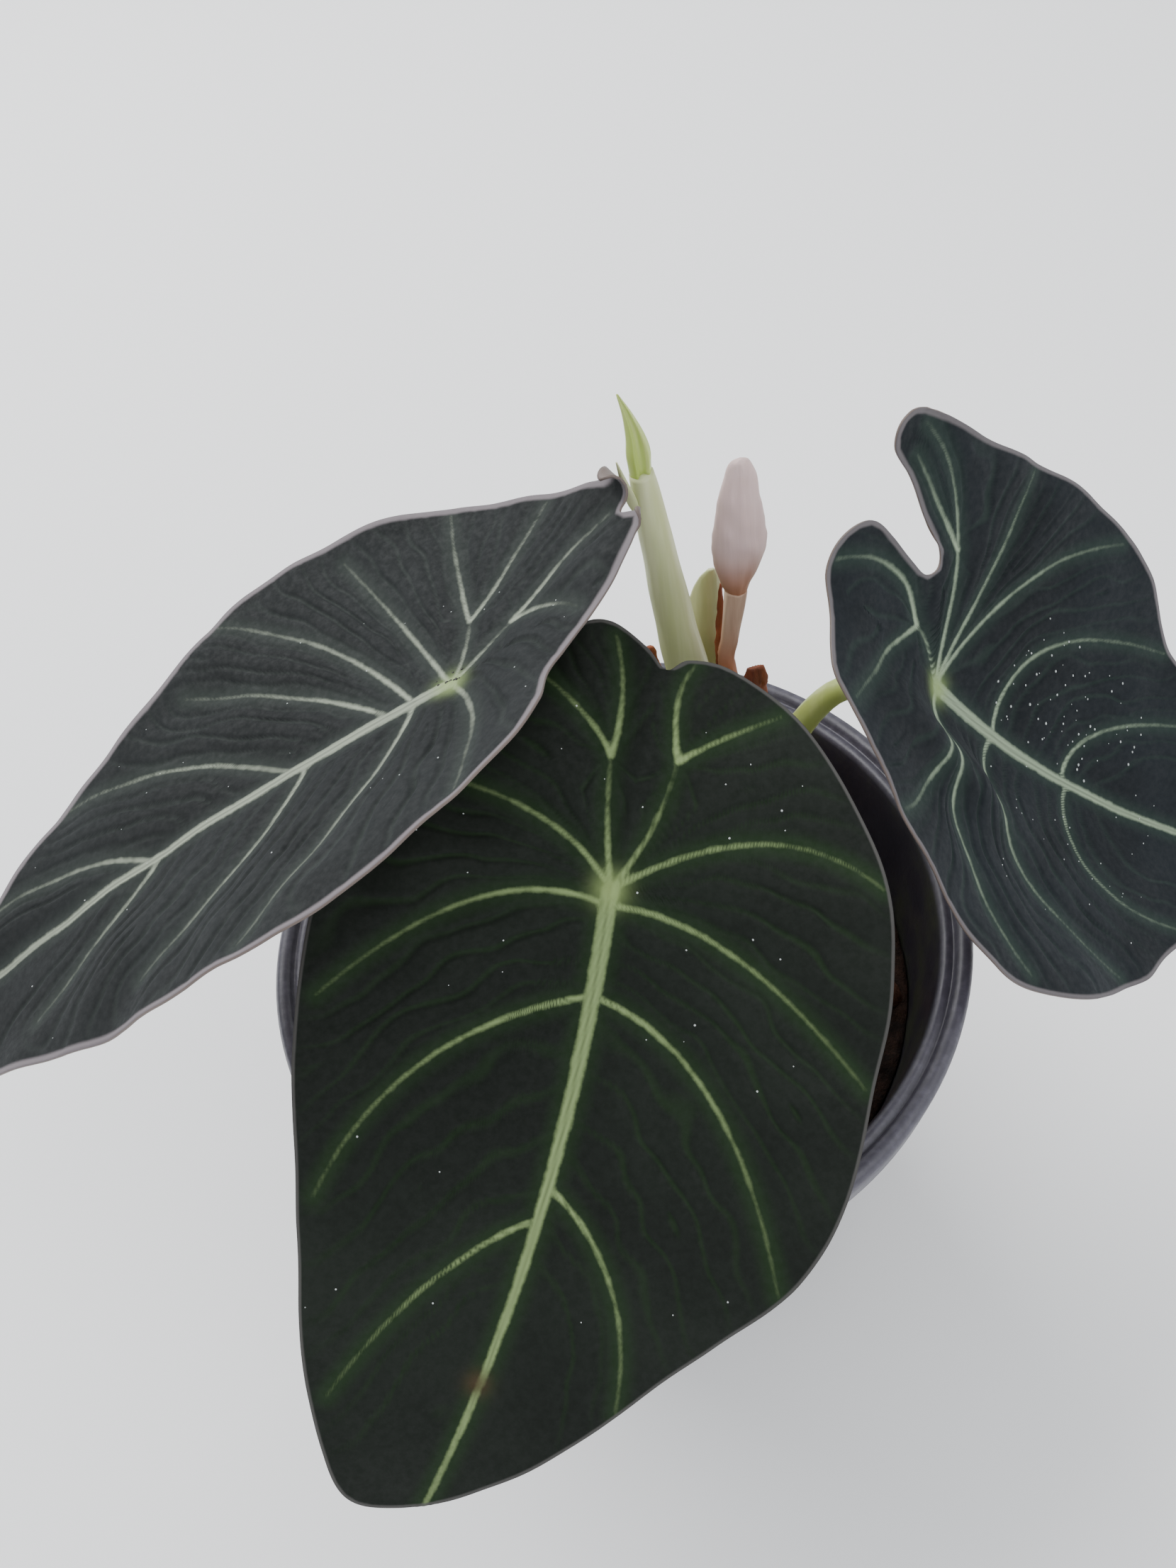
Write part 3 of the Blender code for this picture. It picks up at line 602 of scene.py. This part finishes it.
def scale_bmesh(rows, sides=36, ribs=9, rib_depth=0.05, crumple=0.0, groove=0.0):
    # flattened rings along a rising path, ribbed, cupped, and crumpled or grooved if asked
    thinnest = 0.08
    cup = 0.18
    bm = bmesh.new()
    rings = []
    for x, y, z, wide, thick, turn in smooth_rows(rows, SCALE_STEPS):
        wide = max(wide, thinnest)
        thick = max(thick, thinnest)
        spin = math.radians(turn)
        ring = bmesh.ops.create_circle(bm, segments=sides, radius=1.0)["verts"]
        for item in ring:
            angle = math.atan2(item.co.y, item.co.x)
            a = wide * math.cos(angle)
            b = thick * math.sin(angle)
            b *= 1.0 + rib_depth * 3 * math.cos(ribs * a / wide * 2.2)
            if groove and math.sin(angle) < 0:
                b += groove * thick * math.exp(-(a / wide * 3.2) ** 2)
            b += cup * a * a / max(wide, 0.1)
            if crumple:
                b += crumple * noise.noise(Vector((a * 0.55, 3.1, z * 0.32)))
                a += 0.6 * crumple * noise.noise(Vector((math.sin(angle), 7.7, z * 0.5)))
            item.co = Vector((x + a * math.cos(spin) - b * math.sin(spin),
                              y + a * math.sin(spin) + b * math.cos(spin), z))
        rings.append(ring)
    bridge_rings(bm, rings)
    bmesh.ops.scale(bm, vec=(MM, MM, MM), verts=bm.verts)
    return bm


def square_to_disc(x, y):
    # a place on a square, as its share of the way outwards and its share of a full turn
    flat = np.abs(x) >= np.abs(y)
    reach = np.maximum(np.abs(x), np.abs(y))
    safe_x = np.where(np.abs(x) < 1e-9, 1e-9, x)
    safe_y = np.where(np.abs(y) < 1e-9, 1e-9, y)
    angle = np.where(flat, math.pi / 4 * y / safe_x + np.where(x < 0, math.pi, 0),
                     math.pi / 2 - math.pi / 4 * x / safe_y + np.where(y < 0, math.pi, 0))
    return reach, (angle / math.tau) % 1.0


# leaf blades, worked out on the flat plane: u along the midrib, v across it

def outline_table(points):
    # a smooth closed line through the points, as a table over its walked length
    table = np.array([tuple(p) + (0,) * (3 - len(p)) for p in points], float)
    before, after, second = np.roll(table, 1, 0), np.roll(table, -1, 0), np.roll(table, -2, 0)
    fine = [between(before, table, after, second, step)
            for step in np.linspace(0, 1, OUTLINE_STEPS, endpoint=False)]
    fine = np.stack(fine, 1).reshape(-1, 3)
    loop = np.vstack([fine, fine[:1]])
    walked = np.concatenate([[0], np.cumsum(np.hypot(*np.diff(loop[:, :2], axis=0).T))])
    want = np.linspace(0, walked[-1], OUTLINE_POINTS)
    return np.stack([np.interp(want, walked, loop[:, k]) for k in range(3)], 1)


def leaf_axes(leaf):
    along = Vector(leaf["along"]).normalized()
    face = Vector(leaf["face"])
    face = (face - along * face.dot(along)).normalized()
    return np.array(along), np.array(face.cross(along)), np.array(face)


def vein_line(vein):
    root, middle, end = (np.array(p, float) for p in vein)
    pull = 2 * middle - 0.5 * (root + end)
    t = np.linspace(0, 1, VEIN_POINTS)[:, None]
    return (1 - t) ** 2 * root + 2 * t * (1 - t) * pull + t * t * end


def nearest(u, v, line):
    # distance to a line in straight steps, and how far along it the nearest place is
    best = np.full(u.shape, 1e9)
    where = np.zeros(u.shape)
    last = len(line) - 1.0
    for k, ((x, y), (next_x, next_y)) in enumerate(zip(line, line[1:])):
        step_x, step_y = next_x - x, next_y - y
        walked = ((u - x) * step_x + (v - y) * step_y) / (step_x ** 2 + step_y ** 2 + 1e-9)
        walked = np.clip(walked, 0, 1)
        gap = (u - x - walked * step_x) ** 2 + (v - y - walked * step_y) ** 2
        closer = gap < best
        best[closer] = gap[closer]
        where[closer] = (k + walked[closer]) / last
    return np.sqrt(best), where


def bent_height(bend, u, v):
    # how the flat plane bends, the same as in the part's source
    a, b = u / 50.0, v / 50.0
    low = np.minimum(a, 0.0)
    get = bend.get
    droop = get("droop", 0) * (np.maximum(0.0, -v - 10) / 25) ** 2
    droop = droop * (np.maximum(0.0, 10 - u) / 30) ** 2
    bends = (get("uu", 0) * a * a + get("uuu", 0) * a ** 3 + get("vv", 0) * b * b
             + get("uv", 0) * a * b + get("uvv", 0) * a * b * b + get("uuv", 0) * a * a * b
             + get("vvv", 0) * b ** 3 + get("fold", 0) * (np.sqrt(b * b + 0.01) - 0.1)
             + get("uuvv", 0) * a * a * b * b + get("lobe", 0) * low * low
             + get("lobe_v", 0) * low * low * b)
    return 50.0 * bends - droop


def flat_blade(leaf):
    # a grid pressed into the outline: share runs from the hub out, around once round the leaf
    bm = bmesh.new()
    bmesh.ops.create_grid(bm, x_segments=BLADE_LONG, y_segments=BLADE_WIDE, size=1.0)
    spots = np.array([item.co[:2] for item in bm.verts])
    share, around = square_to_disc(spots[:, 0], spots[:, 1])
    table = outline_table(leaf["outline"])
    walk = np.linspace(0, 1, len(table))
    edge = np.stack([np.interp(around, walk, table[:, k]) for k in range(3)], 1)
    keep = 2 * share * (1 - share)
    u = keep * 0.5 * edge[:, 0] + share ** 2 * edge[:, 0]
    v = keep * (0.5 * edge[:, 1] + edge[:, 2]) + share ** 2 * edge[:, 1]
    margin_gap, _ = nearest(u, v, np.vstack([table[::16, :2], table[:1, :2]]))
    return bm, u, v, share, around, margin_gap


def vein_distances(leaf, u, v):
    # gap to each vein's middle line, how far along the midrib a place is, gap to the side of
    # the nearest vein, and how strong that vein's colour is there
    found = [nearest(u, v, vein_line(vein)) for vein in leaf["veins"]]
    gaps = np.array([gap for gap, _ in found])
    wheres = np.array([where for _, where in found])
    is_midrib = np.arange(len(gaps))[:, None] == 0
    half = np.where(is_midrib, MIDRIB_HALF - MIDRIB_TAPER * wheres, SIDE_HALF - SIDE_TAPER * wheres)
    vein_gap = np.min(gaps - half, axis=0)
    strongest = np.argmin(gaps - half, axis=0)
    strength = 1.0 - VEIN_FADE * wheres[strongest, np.arange(len(u))] ** 1.15 * (strongest > 0)
    return gaps, wheres[0], vein_gap, strength


def ripple_pattern(leaf, u, v, gaps):
    # ripples run beside the side veins of the same half of the leaf
    middle = vein_line(leaf["veins"][0])
    side = np.sign(v - np.interp(u, middle[:, 0], middle[:, 1]))
    ends = np.array([vein[2][1] for vein in leaf["veins"]])
    first, second = np.full(u.shape, FAR_AWAY), np.full(u.shape, FAR_AWAY)
    for k in range(1, len(gaps)):
        gap = np.where(np.sign(ends[k]) == side, gaps[k], FAR_AWAY)
        second = np.minimum(second, np.maximum(gap, first))
        first = np.minimum(first, gap)
    tip_gap, _ = nearest(u, v, middle[TIP_FROM:])
    second = np.minimum(second, np.maximum(tip_gap, first))
    phase = first / np.maximum(first + second, 0.5)
    wobble = np.array([noise.noise(Vector((a * 0.11, b * 0.11, leaf["seed"])))
                       for a, b in zip(u, v)])
    stray = np.array([noise.noise(Vector((a * 0.2, b * 0.2, 9.0))) for a, b in zip(u, v)])
    ripple = np.cos(math.tau * (phase * RIPPLES_PER_FIELD + 0.55 * wobble + 0.22 * stray))
    return ripple, wobble, stray


def roll_lobes(leaf, u, v, height):
    # the end of a lobe rolls up and over towards the upper face
    for (at_u, at_v), (out_u, out_v), radius, stretch, reach in leaf["rolls"]:
        past = (u - at_u) * out_u + (v - at_v) * out_v
        near = np.exp(-(((u - at_u) * out_v - (v - at_v) * out_u) / reach) ** 4)
        turn = np.where(past > 0, past, 0.0) * stretch * near / radius
        shift = np.where(past > 0, radius * np.sin(turn) - past * near, 0.0)
        u, v = u + shift * out_u, v + shift * out_v
        height = height + radius * (1 - np.cos(turn))
    return u, v, height


def build_blade(key, underside):
    leaf = LEAVES[key]
    bm, u, v, share, around, margin_gap = flat_blade(leaf)
    gaps, midrib_where, vein_gap, strength = vein_distances(leaf, u, v)
    ripple, wobble, stray = ripple_pattern(leaf, u, v, gaps)
    calm = (1 - np.exp(-np.maximum(vein_gap, 0) / 2.2)) * (1 - share ** 10)
    middle = vein_line(leaf["veins"][0])
    offset = np.interp(u, middle[:, 0], middle[:, 1]) - v
    grooves = np.cos(offset * math.tau / GROOVE_SPACING)

    # fields puffed up between the veins, a wavy edge, ripples, raised veins and grooves
    height = bent_height(leaf["bend"], u, v)
    height += PUFF_HEIGHT * (1 - np.exp(-np.min(gaps, axis=0) / 3.5)) * (1 - 0.6 * share ** 6)
    height += EDGE_WAVE_HEIGHT * share ** 5 * np.sin(around * math.tau * EDGE_WAVES + leaf["seed"])
    height -= (RIPPLE_DEPTH * np.clip((ripple + 0.1) / 1.1, 0, 1) ** 2.4 * calm
               * (0.75 + 0.6 * stray))
    height += SWAY_HEIGHT * wobble * share
    height += MIDRIB_RISE * np.exp(-(gaps[0] / 1.0) ** 2) * (1 - 0.6 * midrib_where)
    height += SIDE_VEIN_RISE * np.exp(-(np.min(gaps[1:], axis=0) / 0.8) ** 2)
    height += GROOVE_DEPTH * grooves * np.exp(-(gaps[0] / 1.0) ** 2)
    if leaf["ridge"]:
        crest = np.exp(-((v + 11.0 + 0.15 * u) / 4.5) ** 2)
        height += leaf["ridge"] * crest * np.exp(-((u - 2.0) / 17.0) ** 2)

    # what the materials read
    patterns = {
        "vein_gap": vein_gap, "vein_strength": strength, "margin_gap": margin_gap,
        "fine_line": np.clip((ripple - 0.72) / 0.28, 0, 1) * calm,
        "stripe": (0.5 + 0.5 * grooves) * np.exp(-(gaps[0] / 0.9) ** 2),
        "hub_glow": np.exp(-(u ** 2 + v ** 2) / 5.0)}
    if key == "front":
        spot_u, spot_v = BLEMISH_AT
        patterns["blemish"] = np.exp(-((u - spot_u) ** 2 + (v - spot_v) ** 2) / 3.0)

    u, v, height = roll_lobes(leaf, u, v, height)
    along, across, face = leaf_axes(leaf)
    place = np.array(leaf["hub"]) + leaf["size"] * (
        along * u[:, None] + across * v[:, None] + face * height[:, None])
    for item, spot in zip(bm.verts, place * MM):
        item.co = spot
    piece = add_piece("blade_" + key, bm, [velvet_top(key, leaf), underside],
                      ("leaf_%s_blade" % key,), patterns, outward=False)
    skin = piece.modifiers.new("thickness", "SOLIDIFY")
    skin.thickness = BLADE_THICK * MM
    skin.offset = -1.0
    skin.material_offset = 1
    skin.material_offset_rim = 0 if key == "front" else 1
    return place, u, v, face


def build_petiole(key, material):
    leaf = LEAVES[key]
    _, _, face = leaf_axes(leaf)
    hub = np.array(leaf["hub"])
    ends = [tuple(hub - face * depth) + (radius,) for depth, radius in (PETIOLE_NECK, PETIOLE_TOP)]
    bm = stem_bmesh(PETIOLES[key] + ends, ribs=11, rib_depth=0.018)
    add_piece("petiole_" + key, bm, [material], ("leaf_%s_petiole" % key,))


def build_leaves():
    underside = velvet_underside()
    blades = {key: build_blade(key, underside) for key in LEAVES}
    green = plain_green("petiole", (0.42, 0.50, 0.13), (0.52, 0.58, 0.22))
    for key in PETIOLES:
        build_petiole(key, green)
    return blades


# the shoot, the faded flower and the dried pieces at the crown

def build_shoot(sheath):
    young = plain_green("new_leaf", (0.40, 0.52, 0.10), (0.58, 0.66, 0.24))
    add_piece("sheath_column", stem_bmesh(SHOOT, ribs=14, rib_depth=0.02, uneven=0.08),
              [sheath], ("shoot_sheath",))
    add_piece("rolled_leaf", scale_bmesh(ROLLED_LEAF, groove=0.9, ribs=5),
              [young], ("shoot_new_leaf",))
    add_piece("bract", scale_bmesh(BRACT), [sheath], ("shoot_bract",))


def build_flower():
    add_piece("flower_stalk", stem_bmesh(SPATHE_STALK, ribs=6, rib_depth=0.05, uneven=0.16),
              [stalk_paint()], ("spathe_stalk",))
    add_piece("faded_spathe",
              scale_bmesh(FADED_SPATHE, sides=60, ribs=5, rib_depth=0.008, crumple=0.30),
              [spathe_paint()], ("spathe",))


def build_dried_pieces():
    dry = dried_brown()
    add_piece("dried_sheath_right", scale_bmesh(DRIED_RIGHT, crumple=0.9),
              [dry], ("dry_scale_right",))
    add_piece("dried_sheath_left", scale_bmesh(DRIED_LEFT, crumple=0.5),
              [dry], ("dry_scale_left",))
    add_piece("dried_strip", scale_bmesh(DRIED_STRIP, sides=20, crumple=0.4), [dry])


# pot: one turned wall, with a stepped and grooved lip

def inner_radius(z):
    return INNER_FOOT + (z - POT_FLOOR) * WALL_SLOPE


def turned_wall():
    bm = bmesh.new()
    line = [bm.verts.new((r * MM, 0.0, z * MM)) for r, z in POT_PROFILE]
    edges = [bm.edges.new(pair) for pair in zip(line, line[1:])]
    bmesh.ops.spin(bm, geom=line + edges, cent=(0, 0, 0), axis=(0, 0, 1), angle=math.tau,
                   steps=POT_SIDES, use_merge=True)
    bmesh.ops.remove_doubles(bm, verts=bm.verts, dist=0.02 * MM)
    bmesh.ops.recalc_face_normals(bm, faces=bm.faces)
    return bm


def drain_drill(angle):
    bm = bmesh.new()
    bmesh.ops.create_cone(bm, cap_ends=True, segments=24, radius1=DRAIN_RADIUS * MM,
                          radius2=DRAIN_RADIUS * MM, depth=8 * MM)
    bmesh.ops.translate(bm, verts=bm.verts, vec=(
        DRAIN_RING * MM * math.cos(angle), DRAIN_RING * MM * math.sin(angle), 1 * MM))
    return bm


def helper_object(name, bm):
    mesh = bpy.data.meshes.new(name)
    bm.to_mesh(mesh)
    bm.free()
    helper = bpy.data.objects.new(name, mesh)
    bpy.context.scene.collection.objects.link(helper)
    return helper


def build_pot():
    holes = [helper_object("drill", drain_drill(math.tau * (count + 0.5) / DRAIN_HOLES))
             for count in range(DRAIN_HOLES)]
    whole = helper_object("pot_wall", turned_wall())
    for hole in holes:
        step = whole.modifiers.new("drain", "BOOLEAN")
        step.operation = "DIFFERENCE"
        step.solver = "EXACT"
        step.object = hole
    graph = bpy.context.evaluated_depsgraph_get()
    graph.update()
    cut_mesh = bpy.data.meshes.new_from_object(whole.evaluated_get(graph))
    for item in holes + [whole]:
        bpy.data.objects.remove(item, do_unlink=True)

    # the inner wall above the mix is stained, and the lip gets a painted sheen
    bm = bmesh.new()
    bm.from_mesh(cut_mesh)
    inner, lip = [], []
    for item in bm.verts:
        r, z = math.hypot(item.co.x, item.co.y) / MM, item.co.z / MM
        inner.append(1.0 if r < inner_radius(z) + 0.6 and z > 30 and r < 51 else 0.0)
        lip.append(1.0 if z > 90.5 or (z > 83 and r > 54.0) else 0.0)
    add_piece("pot_shell", bm, [pot_paint()], ("pot",),
              {"inner_wall": inner, "lip": lip})


# potting mix: a lumpy disc with bark chips sunk in it

def soil_surface():
    radius = inner_radius(SOIL_LEVEL) - SOIL_WALL_GAP
    bm = bmesh.new()
    bmesh.ops.create_grid(bm, x_segments=SOIL_SQUARES, y_segments=SOIL_SQUARES, size=1.0)
    for item in bm.verts:
        share, turn = square_to_disc(np.array([item.co.x]), np.array([item.co.y]))
        x = radius * share[0] * math.cos(turn[0] * math.tau)
        y = radius * share[0] * math.sin(turn[0] * math.tau)
        lump = 1.6 * noise.noise(Vector((x * 0.12, y * 0.12, 0.3)))
        lump += 0.8 * noise.noise(Vector((x * 0.5, y * 0.5, 4.0)))
        heap = 1.2 * math.exp(-((x - 22) ** 2 + (y - 20) ** 2) / 180.0)
        item.co = Vector((x, y, SOIL_LEVEL + lump + heap))
    rim = [item for item in bm.edges if len(item.link_faces) == 1]
    made = bmesh.ops.extrude_edge_only(bm, edges=rim)["geom"]
    low = [item for item in made if isinstance(item, bmesh.types.BMVert)]
    for item in low:
        item.co.x *= SOIL_FOOT_RADIUS / radius
        item.co.y *= SOIL_FOOT_RADIUS / radius
        item.co.z = SOIL_FOOT
    bmesh.ops.contextual_create(bm, geom=low)
    return bm


def build_soil():
    bm = soil_surface()
    chip = [0.0] * len(bm.verts)
    tone = [0.0] * len(bm.verts)
    rng = random.Random(11)
    for _ in range(CHIPS):
        reach, angle = CHIP_REACH * math.sqrt(rng.random()), math.tau * rng.random()
        x, y = reach * math.cos(angle), reach * math.sin(angle)
        size = rng.uniform(1.4, 3.6)
        turn = Euler((rng.uniform(-0.6, 0.6), rng.uniform(-0.6, 0.6), rng.uniform(0, 6.3)))
        shape = (Matrix.Translation((x, y, SOIL_LEVEL + rng.uniform(-0.4, 1.3)))
                 @ turn.to_matrix().to_4x4()
                 @ Matrix.Diagonal((size, size * rng.uniform(0.5, 0.8), size * 0.42, 1.0)))
        made = bmesh.ops.create_icosphere(bm, subdivisions=2, radius=1.0)["verts"]
        lightness = rng.random()
        for item in made:
            rugged = 1.0 + 0.42 * noise.noise(item.co * 1.7 + Vector((x, y, 0)))
            item.co = shape @ (item.co * rugged)
            chip.append(1.0)
            tone.append(lightness)
    bmesh.ops.scale(bm, vec=(MM, MM, MM), verts=bm.verts)
    add_piece("bark_mix", bm, [soil_paint()], ("potting_mix",),
              {"chip": chip, "tone": tone})


# specks that lie on the blades, pale ones and dark ones; on the right leaf the pale ones also stand
# for water droplets, their pale colour a painted glint

def speck_spots(rng, blade, centre, spread, count, low, high):
    place, u, v, face = blade
    inside = np.where((np.abs(u - centre[0]) < spread[0]) & (np.abs(v - centre[1]) < spread[1]))[0]
    found = []
    for _ in range(count):
        pick = inside[rng.randrange(len(inside))]
        found.append((place[pick], face, rng.uniform(low, high)))
    return found


def build_specks(name, material, rng, blades, patches):
    bm = bmesh.new()
    for key, *patch in patches:
        for centre, face, size in speck_spots(rng, blades[key], *patch):
            turn = Vector(face).to_track_quat("Z", "Y").to_matrix().to_4x4()
            shape = Matrix.Translation(Vector(centre)) @ turn @ Matrix.Diagonal((1, 1, 0.45, 1))
            bmesh.ops.create_icosphere(bm, subdivisions=1, radius=size, matrix=shape)
    bmesh.ops.scale(bm, vec=(MM, MM, MM), verts=bm.verts)
    add_piece(name, bm, [material])


def build_plant():
    blades = build_leaves()
    sheath = plain_green("sheath", (0.52, 0.56, 0.28), (0.66, 0.68, 0.42), rough=0.48)
    build_shoot(sheath)
    build_flower()
    add_piece("sheath_leaf", scale_bmesh(SHEATH_LEAF, crumple=0.2),
              [sheath], ("cataphyll",))
    build_dried_pieces()
    build_pot()
    build_soil()
    rng = random.Random(5)
    build_specks("pale_specks", speck_paint("dust_and_glint_speck", (0.62, 0.66, 0.64)), rng, blades,
                 PALE_SPECKS)
    build_specks("dark_specks", speck_paint("dark_speck", (0.012, 0.010, 0.008)), rng, blades,
                 DARK_SPECKS)


# floor, light and camera

def build_floor():
    bm = bmesh.new()
    bmesh.ops.create_grid(bm, x_segments=1, y_segments=1, size=FLOOR_REACH)
    floor = helper_object("floor", bm)
    floor.data.materials.append(Paint("pale_floor").finish(STUDIO_GREY, 0.9))


def build_light():
    world = bpy.data.worlds.new("studio")
    bpy.context.scene.world = world
    world.use_nodes = True
    sky = world.node_tree.nodes["Background"]
    sky.inputs["Color"].default_value = STUDIO_SKY
    sky.inputs["Strength"].default_value = SKY_STRENGTH
    for name, spot, size, power in (
            ("key_light", (-0.45, 0.65, 1.0), 0.9, 16.0),
            ("fill_light", (0.7, -0.5, 1.1), 1.0, 6.0)):
        lamp = bpy.data.lights.new(name, "AREA")
        lamp.size = size
        lamp.energy = power
        holder = bpy.data.objects.new(name, lamp)
        holder.location = spot
        aim = Vector((0, 0, 0.1)) - Vector(spot)
        holder.rotation_euler = aim.to_track_quat("-Z", "Y").to_euler()
        bpy.context.scene.collection.objects.link(holder)


def build_camera():
    lens = bpy.data.cameras.new("photo_camera")
    lens.lens = CAMERA_LENS
    lens.sensor_width = SENSOR_WIDTH
    lens.clip_start = 0.01
    camera = bpy.data.objects.new("photo_camera", lens)
    right, up = Vector(CAMERA_RIGHT).normalized(), Vector(CAMERA_UP).normalized()
    back = right.cross(up).normalized()
    turn = Matrix((right, up, back)).transposed().to_4x4()
    camera.matrix_world = Matrix.Translation(Vector(CAMERA_PLACE) * MM) @ turn
    bpy.context.scene.collection.objects.link(camera)
    bpy.context.scene.camera = camera


build_plant()
build_floor()
build_light()
build_camera()
